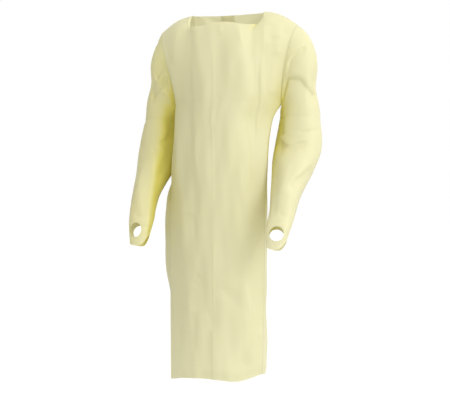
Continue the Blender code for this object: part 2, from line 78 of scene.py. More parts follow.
Section = namedtuple("Section", "z front_x front_half seam_y front_y back_x back_half back_y")
SECTIONS = (
    Section(-0.300, 0.004, 0.1790, -0.020, -0.126, 0.003, 0.172, 0.106),
    Section(-0.345, -0.006, 0.1670, -0.036, -0.129, -0.012, 0.151, 0.100),
    Section(-0.400, -0.009, 0.1610, -0.052, -0.133, -0.016, 0.148, 0.096),
    Section(-0.500, -0.010, 0.1600, -0.074, -0.138, -0.026, 0.156, 0.094),
    Section(-0.560, -0.009, 0.1580, -0.084, -0.144, -0.046, 0.178, 0.098),
    Section(-0.640, -0.009, 0.1580, -0.090, -0.151, -0.054, 0.186, 0.106),
    Section(-0.760, -0.009, 0.1580, -0.092, -0.157, -0.055, 0.187, 0.120),
    Section(-0.900, -0.010, 0.1570, -0.092, -0.160, -0.046, 0.180, 0.116),
    Section(-1.040, -0.012, 0.1550, -0.090, -0.162, -0.024, 0.164, 0.106),
    Section(-1.200, -0.013, 0.1540, -0.088, -0.164, -0.016, 0.156, 0.098),
)
HemPoint = namedtuple("HemPoint", "across front back")
HEM = (
    HemPoint(-1.0, -1.183, -1.183),
    HemPoint(-0.6, -1.169, -1.176),
    HemPoint(-0.2, -1.164, -1.170),
    HemPoint(0.2, -1.166, -1.166),
    HemPoint(0.6, -1.170, -1.168),
    HemPoint(1.0, -1.152, -1.152),
)
FRONT_POWER = BACK_POWER = 2.5
SEAM_TURN = 0.15 * math.pi
FRONT_HALF_GIRTH = 0.18
BACK_HALF_GIRTH = 0.27

Ring = namedtuple("Ring", "x y z half_width half_depth")
LEFT_RINGS = (
    Ring(0.2350, 0.016, -0.350, 0.0650, 0.056),
    Ring(0.2330, 0.000, -0.430, 0.0740, 0.058),
    Ring(0.2270, -0.045, -0.500, 0.0680, 0.055),
    Ring(0.2210, -0.105, -0.585, 0.0480, 0.046),
    Ring(0.2180, -0.150, -0.655, 0.0390, 0.036),
    Ring(0.2140, -0.180, -0.700, 0.0385, 0.026),
    Ring(0.2120, -0.198, -0.758, 0.0320, 0.017),
)
RIGHT_RINGS = (
    Ring(0.2360, 0.012, -0.350, 0.0570, 0.056),
    Ring(0.2390, -0.010, -0.430, 0.0650, 0.058),
    Ring(0.2380, -0.050, -0.500, 0.0600, 0.055),
    Ring(0.2440, -0.105, -0.585, 0.0425, 0.046),
    Ring(0.2410, -0.150, -0.655, 0.0400, 0.036),
    Ring(0.2380, -0.172, -0.700, 0.0380, 0.027),
    Ring(0.2360, -0.186, -0.752, 0.0320, 0.018),
)
Finish = namedtuple("Finish", "rise_outside rise_inside rise_rings head_stand head_bow")
LEFT_FINISH = Finish(0.026, 0.014, 4, 0.44, 0.12)
RIGHT_FINISH = Finish(0.010, 0.034, 4, 0.14, 0.17)
RING_POWER, RISE_POWER = 2.2, 2.5
# How the sleeve leaves the armhole: outward, down, and how strongly.
CAP_OUT, CAP_OUT_MIDDLE, CAP_DOWN, CAP_STAND, CAP_PULL = 0.30, 0.35, 0.85, 0.7, 0.95
Hole = namedtuple("Hole", "x y z half_width half_height turn tilt")
LEFT_HOLE = Hole(0.2120, -0.187, -0.712, 0.0220, 0.0225, 14.0, 11.0)
RIGHT_HOLE = Hole(0.2460, -0.178, -0.704, 0.0185, 0.0230, 8.0, 11.0)
HOLE_REACH = 0.08            # to each side of its centre, through both layers

# ------------------------ mesh densities
FRONT_FINE = 200             # columns
BACK_FINE = 240
YOKE_FINE = 90               # rows from the shoulder to the armpit
SKIRT_FINE = 210             # and on to the hem
SLEEVE_ROUND = 150
CAP_FINE = 100
ARM_FINE = 150

# ------------------------ folds
# A fold follows a smooth path on the flat cloth. On the body a path point is (across, z), with
# across from -1 at the wearer's right seam to 1 at the left one. On a sleeve it is (turn, along):
# turn in degrees, 0 outside, 90 in front, 180 inside, and along from 0 at the armhole to 1 at the
# cuff. Looking down the path on the body, near is the half width on the left hand and far on the
# right; on a sleeve it is the other way about. depth is below zero for a trough, edge 2 is soft
# and 1 is sharp, and fade is the share of the path over which each end runs out. Near, far and
# depth are in millimetres. A fold counts as far as FOLD_REACH times its half width.
Fold = namedtuple("Fold", "path near far depth edge fade", defaults=(2.0, 0.25))
FOLD_REACH = 3.2
FRONT_FOLDS = (
    # lines pressed in where the gown lay folded
    (((-0.115, -0.1), (-0.113, -0.18), (-0.098, -0.29), (0.015, -0.45), (0.043, -0.65)),
     4.5, 4.5, 1, 1.2, 0.15),
    (((0.07, -0.73), (0.08, -0.885), (0.085, -0.96)), 4.5, 4.5, 1.1, 1.2, 0.15),
    (((0.088, -1), (0.1, -1.175)), 4.5, 4.5, 1, 1.2, 0.1),
    (((-0.86, -0.646), (-0.33, -0.647)), 6, 4, 0.7, 1.2, 0.2),
    (((-0.86, -0.934), (-0.08, -0.925)), 6, 4, 0.7, 1.2, 0.2),
    (((0.64, -0.713), (0.96, -0.715)), 6, 4, 0.7, 1.2, 0.2),
    # from the wearer's right shoulder down
    (((-0.83, -0.045), (-0.86, -0.17)), 8, 14, 2.6),
    (((-0.95, -0.1), (-0.945, -0.17)), 6, 6, -2.2),
    (((-0.9, -0.12), (-0.93, -0.3), (-0.85, -0.44), (-0.8, -0.62)), 26, 20, 3.6),
    (((-0.6, -0.15), (-0.59, -0.287), (-0.5, -0.387), (-0.46, -0.448), (-0.4, -0.52)),
     13, 34, -3),
    (((-0.42, -0.64), (-0.34, -0.74), (-0.34, -0.8)), 12, 26, -2.6),
    (((-0.23, -0.835), (-0.37, -0.88)), 14, 10, -1.6),
    (((-0.34, -0.95), (-0.33, -1.09)), 11, 26, -2.6),
    (((-0.8, -0.7), (-0.76, -0.9), (-0.7, -1.12)), 30, 22, -3),
    # over the chest and belly
    (((0, -0.045), (0.02, -0.09)), 6, 6, 1.6, 2, 0.45),
    (((0.29, -0.045), (0.36, -0.13)), 5, 11, 1.8, 2, 0.45),
    (((-0.01, -0.27), (0.045, -0.38)), 14, 6, -1.4),
    (((0.26, -0.15), (0.19, -0.34)), 14, 14, -1.4),
    (((-0.62, -0.5), (0, -0.485), (0.5, -0.51)), 60, 70, 6, 2, 0.3),
    (((0.14, -0.87), (0.46, -0.915), (0.62, -0.97)), 22, 20, -2.6),
    (((-0.05, -0.94), (0.1, -1.02)), 18, 10, -1.4),
    # from the wearer's left shoulder down
    (((0.81, -0.035), (0.84, -0.12)), 14, 10, -3),
    (((0.93, -0.045), (0.965, -0.09)), 12, 6, -2.4),
    (((0.9, -0.07), (0.925, -0.16)), 7, 10, 2.6),
    (((0.665, -0.14), (0.655, -0.262), (0.78, -0.386), (0.8, -0.46)), 6, 32, -4),
    (((0.6, -0.3), (0.72, -0.42), (0.76, -0.5), (0.82, -0.61)), 26, 7, -3.4),
    (((0.98, -0.26), (0.88, -0.33), (0.86, -0.44)), 20, 22, -3.4),
    (((0.5, -0.46), (0.58, -0.561), (0.68, -0.622), (0.75, -0.71)), 10, 16, 2.2),
    (((1, -0.71), (0.86, -0.75), (0.76, -0.795)), 22, 7, 2.2, 2, 0.15),
    (((0.61, -0.84), (0.69, -0.902), (0.74, -0.954), (0.7, -1.01), (0.68, -1.13)), 12, 30, 2.6),
    (((1.02, -0.985), (0.94, -1.022), (0.84, -1.056), (0.7, -1.12)), 36, 12, 5, 1.8, 0.3),
)
BACK_FOLDS = (
    (((-0.42, -0.06), (-0.42, -0.3), (-0.41, -0.62)), 4.5, 4.5, 1, 1.2, 0.12),
    (((-0.41, -0.68), (-0.41, -1.16)), 4.5, 4.5, 1, 1.2, 0.12),
    (((0.4, -0.08), (0.4, -0.34), (0.41, -0.9)), 4.5, 4.5, 1, 1.2, 0.12),
    (((-0.92, -0.646), (-0.34, -0.65)), 6, 4, 0.7, 1.2, 0.2),
    (((0.26, -0.64), (0.9, -0.646)), 6, 4, 0.7, 1.2, 0.2),
    (((-0.9, -0.934), (0, -0.93), (0.9, -0.934)), 6, 4, 0.7, 1.2, 0.2),
    (((-0.64, -0.16), (-0.6, -0.42), (-0.54, -0.8)), 16, 36, -5.5),
    (((0.58, -0.18), (0.6, -0.5), (0.62, -0.95)), 38, 16, -5.5),
    (((-0.42, -0.58), (-0.44, -0.85), (-0.47, -1.18)), 22, 30, 5.5),
    (((0.34, -0.66), (0.35, -0.9), (0.3, -1.18)), 30, 20, 5.5),
    (((-0.98, -0.25), (-0.82, -0.34), (-0.66, -0.47)), 13, 30, -5.5),
    (((0.98, -0.26), (0.84, -0.36), (0.7, -0.52)), 30, 13, -5.5),
    (((-0.26, -0.1), (-0.24, -0.34)), 18, 26, 3.5),
    (((0.24, -0.09), (0.2, -0.3)), 12, 24, -3.5),
    (((-0.8, -0.48), (-0.48, -0.6), (-0.2, -0.65)), 20, 30, -4.5),
    (((0.82, -0.55), (0.56, -0.69), (0.3, -0.76)), 26, 18, -4.2),
    (((-0.74, -0.82), (-0.68, -1), (-0.66, -1.16)), 18, 32, -5.5),
    (((0.72, -0.76), (0.76, -0.95), (0.8, -1.14)), 32, 18, -5.5),
    (((0.02, -0.98), (0.06, -1.17)), 16, 26, -3.5),
    (((-0.9, -1), (-0.8, -1.08), (-0.6, -1.14)), 12, 26, 4),
)
LEFT_FOLDS = (
    (((280, 0.27), (350, 0.26), (420, 0.25)), 50, 50, -15),
    (((96, 0.02), (89, 0.035), (67, 0.058), (41, 0.081), (22, 0.092)), 5, 20, -4.6, 1.6, 0.2),
    (((135, 0.03), (98, 0.139), (74, 0.194), (58, 0.248), (24, 0.294), (4, 0.315)),
     6.5, 30, -7, 1.6, 0.18),
    (((120, 0.06), (142, 0.12), (152, 0.22)), 12, 20, -4),
    (((132, 0.34), (133, 0.424), (122, 0.5)), 8, 22, -5.5),
    (((96, 0.466), (56, 0.461), (22, 0.44), (0, 0.43)), 8, 16, -2.2, 2, 0.4),
    (((150, 0.475), (122, 0.548), (96, 0.568), (70, 0.545), (44, 0.535)), 8, 24, -6.6, 1.8, 0.34),
    (((132, 0.53), (120, 0.583), (121, 0.63)), 10, 14, -4),
    (((26, 0.61), (48, 0.68), (68, 0.74), (84, 0.8)), 18, 22, 3.2),
    (((6, 0.605), (30, 0.681), (55, 0.722), (71, 0.775), (74, 0.83)), 30, 8, -5, 1.7, 0.18),
    (((130, 0.6), (122, 0.738), (108, 0.885)), 16, 22, -3),
    (((92, 0.64), (88, 0.71), (95, 0.79)), 10, 12, 2),
    (((30, 0.862), (62, 0.872), (96, 0.862)), 5, 10, -1.6),
    (((50, 0.93), (92, 0.915), (128, 0.935)), 8, 5, -1.4),
    (((222, 0.06), (270, 0.13), (325, 0.19)), 26, 8, -6.5, 1.7, 0.22),
    (((205, 0.26), (250, 0.32), (310, 0.33)), 24, 10, -5),
    (((196, 0.46), (240, 0.52), (300, 0.5)), 20, 9, -5.5, 1.8, 0.25),
    (((330, 0.42), (305, 0.56), (282, 0.74)), 12, 26, -3.8),
    (((292, 0.62), (252, 0.72), (232, 0.84)), 18, 18, 3.2),
    (((214, 0.62), (206, 0.74), (212, 0.86)), 10, 20, -3.2),
    (((236, 0.9), (280, 0.91), (318, 0.89)), 6, 10, -1.4),
)
RIGHT_FOLDS = (
    (((-55, 0.23), (15, 0.22), (85, 0.23)), 50, 50, -13),
    (((146, 0.16), (146, 0.32), (150, 0.5), (156, 0.72)), 30, 30, -11, 2, 0.22),
    (((104, -0.02), (91, 0.025), (84, 0.066), (76, 0.128), (68, 0.16)), 18, 5, -7.5, 1.6, 0.2),
    (((122, -0.02), (110, 0.08), (92, 0.175), (76, 0.24), (60, 0.285)), 24, 6.5, -11, 1.6, 0.18),
    (((132, 0.01), (120, 0.095), (100, 0.165)), 12, 12, -4.5),
    (((128, 0.13), (98, 0.25), (60, 0.31)), 22, 10, -3.2),
    (((-6, 0.048), (22, 0.046), (52, 0.052)), 6, 5, -4, 1.6, 0.35),
    (((86, 0.568), (110, 0.58), (134, 0.566)), 9, 5, -2.2),
    (((88, 0.56), (112, 0.66), (134, 0.76), (150, 0.88)), 14, 20, 3.4),
    (((150, 0.42), (132, 0.5), (104, 0.53)), 10, 18, -4),
    (((60, 0.4), (72, 0.52), (86, 0.64)), 26, 22, -2.6),
    (((62, 0.66), (84, 0.78), (104, 0.88)), 18, 14, 2.2),
    (((30, 0.5), (52, 0.56), (60, 0.66)), 14, 20, -2.4),
    (((70, 0.872), (100, 0.88), (138, 0.868)), 5, 10, -1.6),
    (((84, 0.94), (120, 0.925), (160, 0.94)), 8, 5, -1.4),
    (((222, 0.07), (270, 0.14), (325, 0.18)), 26, 8, -6.5, 1.7, 0.22),
    (((205, 0.27), (255, 0.33), (312, 0.32)), 24, 10, -5),
    (((198, 0.47), (244, 0.51), (300, 0.49)), 20, 9, -5.5, 1.8, 0.25),
    (((332, 0.44), (304, 0.57), (284, 0.75)), 12, 26, -3.8),
    (((290, 0.63), (254, 0.73), (234, 0.85)), 18, 18, 3.2),
    (((214, 0.62), (208, 0.74), (214, 0.86)), 10, 20, -3.2),
)
# A slow swell all over the cloth: waves per metre across and down, start, and height.
Swell = namedtuple("Swell", "across down start height")
SWELLS = (
    Swell(9.0, 1.1, 0.4, 0.0011),
    Swell(15.0, -2.3, 2.2, 0.0007),
    Swell(5.0, 4.1, 4.0, 0.0009),
    Swell(24.0, 3.2, 1.3, 0.0003),
    Swell(-11.0, 8.0, 5.1, 0.0004),
)
HEM_CURL, HEM_CURL_HEIGHT = 0.0040, 0.032    # the hem turns in a little
NECK_RISE, NECK_RISE_HALF = 0.0080, 0.052    # the front neck edge stands up in the middle
# Evening out below the neck's corners: place and half width across, rounds, start and end down.
CORNER_PLACE, CORNER_HALF, CORNER_ROUNDS, CORNER_START, CORNER_END = 0.66, 0.34, 420, 0.13, 0.5
# Seams stay where they are, and folds run out towards them over these shares of the piece.
SEAM_FADE, NECK_FADE, TOP_FADE, ARMHOLE_FADE = 0.05, 0.08, 0.125, 0.035
SLEEVE_RADIUS, SLEEVE_LENGTH = 0.055, 0.78   # of the flat cloth on which sleeve folds lie
SWELL_RADIUS, PATH_STEP, AT_SEAM = 0.05, 0.01, 0.002

# ------------------------ closed-in cloth and the shade painted on it
# Cloth that faces other cloth gets painted shade: its colour is mixed towards a deeper yellow there. Rays
# from every few points find how closed in it is, a gain says how much painted shade that gives, and the
# right sleeve gets painted shade all over for hanging in the body's shade.
RAY_STEP, RAY_COUNT, RAY_REACH, RAY_START = 4, 20, 0.30, 0.003
PaintedShade = namedtuple("PaintedShade", "gain base", defaults=(1.5, 0.0))
PAINTED_SHADE = {"sleeve_left": PaintedShade(2.25), "sleeve_right": PaintedShade(2.7, 0.16)}
# Painted shade on the front is halved on the wearer's right half, and cut again where light comes in
# below the armpit towards the wearer's left side.
FRONT_SHOWN, LIT_SHARE = 0.5, 0.75           # less on the front, and where light comes in
SHOWN_RAMP, LIT_START, LIT_RAMP, LIT_HEIGHT = 0.5, 0.2, 0.6, 0.15


# ------------------------ curves and tables
def smoothstep(value):
    t = np.clip(value, 0.0, 1.0)
    return t * t * (3.0 - 2.0 * t)


def hermite(start, start_pull, end, end_pull, t):
    """Cubic from start to end; the pulls are its slopes there."""
    t2, t3 = t * t, t * t * t
    return (start * (2 * t3 - 3 * t2 + 1) + start_pull * (t3 - 2 * t2 + t)
            + end * (3 * t2 - 2 * t3) + end_pull * (t3 - t2))


def read_table(rows, column, at, key):
    """Smooth curve through one column of a table, as a function of its key column."""
    keys = np.array([getattr(row, key) for row in rows])
    values = np.array([getattr(row, column) for row in rows])
    if keys[0] > keys[-1]:
        keys, values = keys[::-1], values[::-1]
    slopes = np.gradient(values, keys)
    at = np.clip(at, keys[0], keys[-1])
    i = np.clip(np.searchsorted(keys, at, side="right") - 1, 0, len(keys) - 2)
    step = keys[i + 1] - keys[i]
    return hermite(values[i], slopes[i] * step, values[i + 1], slopes[i + 1] * step,
                   (at - keys[i]) / step)


def along_line(points, fractions):
    """Points at the given shares of a polyline's length."""
    points = np.asarray(points)
    lengths = np.linalg.norm(np.diff(points, axis=0), axis=1)
    reach = np.concatenate(([0.0], np.cumsum(lengths)))
    at = np.asarray(fractions) * reach[-1]
    return np.stack([np.interp(at, reach, points[:, k]) for k in range(points.shape[1])], axis=1)


def unit(vectors):
    return vectors / np.maximum(np.linalg.norm(vectors, axis=-1, keepdims=True), 1e-9)


def signed_power(value, power):
    return np.sign(value) * np.abs(value) ** power


def smooth_path(points, count=24):
    """A smooth line through a few points, evenly spaced."""
    points = np.asarray(points, dtype=float)
    if len(points) == 2:
        return along_line(points, np.linspace(0, 1, count))
    at = np.arange(len(points), dtype=float)
    fine = np.linspace(0, len(points) - 1, 8 * len(points))
    slopes = np.gradient(points, at, axis=0)
    i = np.clip(fine.astype(int), 0, len(points) - 2)
    t = (fine - i)[:, None]
    line = hermite(points[i], slopes[i], points[i + 1], slopes[i + 1], t)
    return along_line(line, np.linspace(0, 1, count))


# ------------------------ seams and edges
def neckline(reach, drop, steps=600):
    """Half of a neck edge, from the centre to the wearer's left neck point."""
    turn = np.linspace(math.pi / 2, 0.0, steps)
    squareness = SQUARE_FRONT if reach < 0 else SQUARE_BACK
    x = NECK_HALF * np.cos(turn).clip(0) ** squareness
    y = reach * np.sin(turn).clip(0) ** squareness
    fall = min(abs(reach), NECK_FALL_DEPTH)
    rise = NECK_RISE * np.exp(-(x / NECK_RISE_HALF) ** 4) if reach < 0 else 0.0
    return np.stack([x, y, rise - drop * smoothstep(np.abs(y) / fall)], axis=1)


def shoulder_seam(share):
    """From the neck point, share 0, to the top of the armhole, share 1."""
    start, end = np.array([NECK_HALF, 0.0, 0.0]), np.array(SHOULDER_END)
    share = np.asarray(share)[:, None]
    line = start + (end - start) * share
    line[:, 2] += SHOULDER_CROWN * np.sin(math.pi * share[:, 0])
    return line


def top_edge(across, neck_share, reach, drop):
    """Neck edge in the middle and a shoulder seam on each side, for across from -1 to 1."""
    size = np.abs(across)
    on_neck = along_line(neckline(reach, drop), np.clip(size / neck_share, 0, 1))
    on_seam = shoulder_seam(np.clip((size - neck_share) / (1 - neck_share), 0, 1))
    edge = np.where((size <= neck_share)[:, None], on_neck, on_seam)
    edge[:, 0] *= np.sign(across)
    return edge


def hem_height(across, side):
    return read_table(HEM, "front" if side < 0 else "back", across, "across")


# ------------------------ body sections
def section_at(z):
    return {name: read_table(SECTIONS, name, z, "z") for name in Section._fields[1:]}


def front_ring(across, z):
    row = section_at(z)
    x = row["front_x"] + row["front_half"] * across
    y = row["seam_y"] + (row["front_y"] - row["seam_y"]) * (1 - np.abs(across) ** FRONT_POWER)
    return np.stack([x, y, z], axis=1)


def back_ring(across, z, steps=240):
    """Back of the body, from the wearer's right seam to the left, evenly spaced."""
    turn = np.linspace(math.pi, 0.0, steps)[None, :]
    row = {name: values[:, None] for name, values in section_at(z).items()}
    x = row["back_x"] + row["back_half"] * signed_power(np.cos(turn), 2 / BACK_POWER)
    y = row["seam_y"] + (row["back_y"] - row["seam_y"]) * np.sin(turn).clip(0) ** (2 / BACK_POWER)
    for side in (-1, 1):
        miss = (row["front_x"] + side * row["front_half"]) - (row["back_x"] + side * row["back_half"])
        x = x + miss * smoothstep(1 - np.abs(turn - (0 if side > 0 else math.pi)) / SEAM_TURN)
    step = np.hypot(np.diff(x, axis=1), np.diff(y, axis=1))
    reach = np.concatenate([np.zeros((len(z), 1)), np.cumsum(step, axis=1)], axis=1)
    at = ((across + 1) / 2).clip(0, 1) * reach[:, -1]
    i = np.clip((reach <= at[:, None]).sum(axis=1) - 1, 0, steps - 2)
    k = np.arange(len(z))
    t = (at - reach[k, i]) / np.maximum(reach[k, i + 1] - reach[k, i], 1e-12)
    return np.stack([x[k, i] + (x[k, i + 1] - x[k, i]) * t, y[k, i] + (y[k, i + 1] - y[k, i]) * t, z],
                    axis=1)


def yoke_pulls(across, neck_share, side, drift):
    """Directions in which the cloth leaves the top edge and reaches the armpit ring."""
    size = np.abs(across)
    to_corner = smoothstep(size / (NECK_CORNER * neck_share))
    past_corner = (size / neck_share - NECK_CORNER) / (1 - NECK_CORNER)
    on_shoulder = np.clip(past_corner, 0, 1)
    past_neck = smoothstep((size - neck_share) / (1 - neck_share))
    fullness = NECK_FULL_FRONT if side < 0 else NECK_FULL_BACK
    forward = (FORWARD + FORWARD_CORNER * to_corner
               + on_shoulder * (FORWARD_SHOULDER + fullness * (1 - past_neck)))
    down = DOWN - DOWN_CORNER * to_corner - DOWN_SHOULDER * on_shoulder
    spread = np.sign(across) * (SPREAD_CORNER * smoothstep(past_corner) - SPREAD_SHOULDER * past_neck)
    pull_top = np.stack([spread, side * forward, -down], axis=1)
    near_seam = smoothstep((size - SEAM_START) / PULL_RAMP)
    sideways = RING_DOWN * drift * (1 - smoothstep((size - DRIFT_START) / PULL_RAMP))
    pull_ring = np.stack([sideways, -side * RING_BACK_SEAM * near_seam,
                          -RING_DOWN - RING_DOWN_SEAM * near_seam], axis=1)
    return pull_top, pull_ring


def front_columns():
    """Where each column of the front lies, row by row, and where the neck ends in the top row."""
    even = np.linspace(-1, 1, FRONT_FINE + 1)
    neck_share = 1 - 2 * SHOULDER_COLUMNS / FRONT_COLUMNS
    spread = np.sign(even) * np.interp(np.abs(even), (0, NECK_CORNER * neck_share, neck_share, 1),
                                       (0, CORNER_ACROSS, NECK_ACROSS, 1))
    skirt = [spread + (even - spread) * smoothstep(k / SKIRT_FINE / DRAWN_SHARE)
             for k in range(1, SKIRT_FINE + 1)]
    return even, np.array([spread] * (YOKE_FINE + 1) + skirt), neck_share


def back_columns():
    """The same for the back, with its overlap."""
    side = (BACK_COLUMNS - BACK_LAP_COLUMNS) / 2
    stops = np.array([0, SHOULDER_COLUMNS, side])
    places = np.concatenate([stops, BACK_COLUMNS - stops[::-1]])
    middle = LAP_SHIFT / BACK_HALF_GIRTH
    rows = []
    for k in range(YOKE_FINE + SKIRT_FINE + 1):
        depth = k / YOKE_FINE * abs(ARMPIT_Z)
        lap = LAP_HALF_NECK + (LAP_HALF - LAP_HALF_NECK) * smoothstep(depth / LAP_SPREAD)
        lap = lap / BACK_HALF_GIRTH
        neck_point = 1 - (1 - lap) * SHOULDER_COLUMNS / side
        rows.append(np.interp(np.linspace(0, BACK_COLUMNS, BACK_FINE + 1), places,
                              (-1, -neck_point, middle - lap, middle + lap, neck_point, 1)))
    lap = LAP_HALF_NECK / BACK_HALF_GIRTH
    neck_share = lap + (1 - lap) * (side - SHOULDER_COLUMNS) / side
    return rows[0], np.array(rows), neck_share


def body_half(columns, side, reach, drop, ring_at):
    """Grid of points for the front (side -1) or the back (side 1), shoulders first."""
    across, rows_across, neck_share = columns
    armpit_z = np.full(len(across), ARMPIT_Z)
    ring = ring_at(rows_across[YOKE_FINE], armpit_z)
    below = ring_at(rows_across[YOKE_FINE], armpit_z - DRIFT_STEP)
    top = top_edge(across, neck_share, reach, drop)
    pulls = yoke_pulls(across, neck_share, side, (below[:, 0] - ring[:, 0]) / DRIFT_STEP)
    rows = [hermite(top, pulls[0], ring, pulls[1], share) for share in np.linspace(0, 1, YOKE_FINE + 1)]
    for k in range(1, SKIRT_FINE + 1):
        shares = rows_across[YOKE_FINE + k]
        hem = hem_height(shares, side)
        rows.append(ring_at(shares, ARMPIT_Z + (hem - ARMPIT_Z) * k / SKIRT_FINE))
    return np.array(rows)


# ------------------------ folds on a grid
def grid_normals(grid, closed=False):
    """Unit normals of a grid of points; closed means the columns run all the way round."""
    if closed:
        across = np.roll(grid, -1, axis=1) - np.roll(grid, 1, axis=1)
    else:
        across = np.gradient(grid, axis=1)
    return unit(np.cross(np.gradient(grid, axis=0), across))


def flat_places(across, down):
    """Places on the flat cloth, from one value across and one down for each point."""
    return np.stack(np.broadcast_arrays(across, down), axis=-1)


def fold_lift(flat, fold, scale):
    """How far one fold lifts each point of the flat cloth."""
    fold = Fold(*fold)
    path = smooth_path(fold.path) * np.asarray(scale)
    near, far, depth = fold.near / 1000, fold.far / 1000, fold.depth / 1000
    reach = FOLD_REACH * max(near, far)
    around = np.all((flat > path.min(axis=0) - reach) & (flat < path.max(axis=0) + reach), axis=-1)
    points = flat[around]
    best = np.full(len(points), 1e9)
    side = np.zeros(len(points))
    share = np.zeros(len(points))
    for k in range(len(path) - 1):
        run = path[k + 1] - path[k]
        away = points - path[k]
        t = np.clip((away @ run) / (run @ run), 0, 1)
        off = away - t[:, None] * run
        gap = np.hypot(off[:, 0], off[:, 1])
        nearer = gap < best
        best = np.where(nearer, gap, best)
        side = np.where(nearer, run[0] * off[:, 1] - run[1] * off[:, 0], side)
        share = np.where(nearer, (k + t) / (len(path) - 1), share)
    width = np.where(side > 0, near, far)
    ends = smoothstep(share / fold.fade) * smoothstep((1 - share) / fold.fade)
    lift = np.zeros(flat.shape[:-1])
    lift[around] = depth * np.exp(-(best / width) ** fold.edge) * ends
    return lift


def swell(flat):
    """The slow waves of the cloth at each point."""
    return sum(wave.height * np.sin(2 * math.pi * (flat[..., 0] * wave.across + flat[..., 1] * wave.down)
                                    + wave.start) for wave in SWELLS)


def soft_corners(grid, rows_across):
    """Evens out the cloth that falls from the two front corners of the neck."""
    soft = grid
    for _ in range(CORNER_ROUNDS):
        wide = np.pad(soft, ((0, 0), (1, 1), (0, 0)), mode="edge")
        soft = (2 * soft + wide[:, :-2] + wide[:, 2:]) / 4
    near = smoothstep(1 - np.abs(np.abs(rows_across) - CORNER_PLACE) / CORNER_HALF)
    down = np.arange(grid.shape[0])[:, None] / YOKE_FINE
    fade = smoothstep(down / CORNER_START) * smoothstep((1 - down) / (1 - CORNER_END))
    return grid + (soft - grid) * (near * fade)[:, :, None]


def body_folds(grid, normals, rows_across, folds, half_girth, neck_share, side):
    """Puts the folds in one half of the body, and keeps its seams where they are."""
    flat = flat_places(rows_across * half_girth, grid[:, :, 2])
    lift = swell(flat) + sum(fold_lift(flat, fold, (half_girth, 1.0)) for fold in folds)
    hem = hem_height(rows_across, side)
    lift -= HEM_CURL * smoothstep(1 - (grid[:, :, 2] - hem) / HEM_CURL_HEIGHT)
    keep = smoothstep((1 - np.abs(rows_across)) / SEAM_FADE)
    from_top = smoothstep(np.arange(grid.shape[0])[:, None] / (YOKE_FINE * TOP_FADE))
    on_neck = smoothstep((neck_share - np.abs(rows_across[:1])) / NECK_FADE)
    return grid + normals * (lift * keep * np.maximum(from_top, on_neck))[:, :, None]


# ------------------------ sleeves
def ring_frame(rings, depth):
    values = {name: float(read_table(rings, name, depth, "z")) for name in Ring._fields if name != "z"}
    return np.array([values["x"], values["y"], depth]), values["half_width"], values["half_depth"]


def ring_points(rings, at, turns, side):
    """One ring of a sleeve, square to its path, at share at of the way down it."""
    depth = rings[0].z + (rings[-1].z - rings[0].z) * at
    centre, width, thick = ring_frame(rings, depth)
    path = unit(ring_frame(rings, depth - PATH_STEP)[0] - ring_frame(rings, depth + PATH_STEP)[0])
    outward = unit(np.array([1.0, 0.0, 0.0]) - path[0] * path)
    forward = np.cross(path, outward)
    forward = forward if forward[1] < 0 else -forward
    cos, sin = np.cos(turns), np.sin(turns)
    points = (centre + width * signed_power(cos, 2 / RING_POWER)[:, None] * outward
              + thick * signed_power(sin, 2 / RING_POWER)[:, None] * forward)
    points[:, 0] *= side
    return points, path * np.array([side, 1, 1])


def cap_pulls(loop, low, side, finish):
    """Directions in which the sleeve leaves the armhole, flatter at the shoulder."""
    top, bottom = loop[:, 2].max(), loop[:, 2].min()
    height = (loop[:, 2] - bottom) / (top - bottom)
    bow = np.sin(math.pi * height) * np.sign(loop[:, 1] - SECTIONS[0].seam_y)
    side_lean = CAP_OUT + CAP_OUT_MIDDLE * np.sin(math.pi * height) + finish.head_stand * height ** 2
    fall = CAP_STAND * finish.head_stand * height - CAP_DOWN
    lean = np.stack([side * side_lean, finish.head_bow * bow, fall], axis=1)
    span = np.linalg.norm(low - loop, axis=1, keepdims=True)
    return unit(lean) * span * CAP_PULL


def sleeve_grid(loop, rings, finish, side):
    """Rings of one sleeve, from the armhole to the cuff, and how far round each column lies."""
    steps = np.linalg.norm(np.roll(loop, -1, axis=0) - loop, axis=1)
    turns = 2 * math.pi * np.concatenate(([0.0], np.cumsum(steps)[:-1])) / steps.sum()
    low, path = ring_points(rings, 0.0, turns, side)
    pull = cap_pulls(loop, low, side, finish)
    span = np.linalg.norm(low - loop, axis=1, keepdims=True)
    rows = [hermite(loop, pull, low, path * span, share) for share in np.linspace(0, 1, CAP_FINE + 1)]
    cos = np.cos(turns)
    rise = np.where(cos > 0, finish.rise_outside, finish.rise_inside) * np.abs(cos) ** RISE_POWER
    for k in range(1, ARM_FINE + 1):
        ring, path = ring_points(rings, k / ARM_FINE, turns, side)
        near_end = max(0.0, 1 - (1 - k / ARM_FINE) * SLEEVE_RINGS / finish.rise_rings)
        rows.append(ring - path * (rise * near_end)[:, None])
    return np.array(rows), turns


def even_loop(loop, count):
    """The same closed loop with evenly spaced points."""
    closed = np.concatenate([loop, loop[:1]])
    return along_line(closed, np.arange(count) / count)


def armhole_loop(front, back, side):
    """Closed loop of points round one armhole: shoulder, front, armpit, back."""
    column = -1 if side > 0 else 0
    return np.concatenate([front[:YOKE_FINE + 1, column], back[YOKE_FINE - 1:0:-1, column]])


def sleeve_along():
    """Share of the way down the sleeve for each row, in the solids' rings."""
    cap = np.linspace(0, CAP_RINGS, CAP_FINE + 1)
    arm = CAP_RINGS + np.arange(1, ARM_FINE + 1) / ARM_FINE * SLEEVE_RINGS
    return np.concatenate([cap, arm]) / (CAP_RINGS + SLEEVE_RINGS)


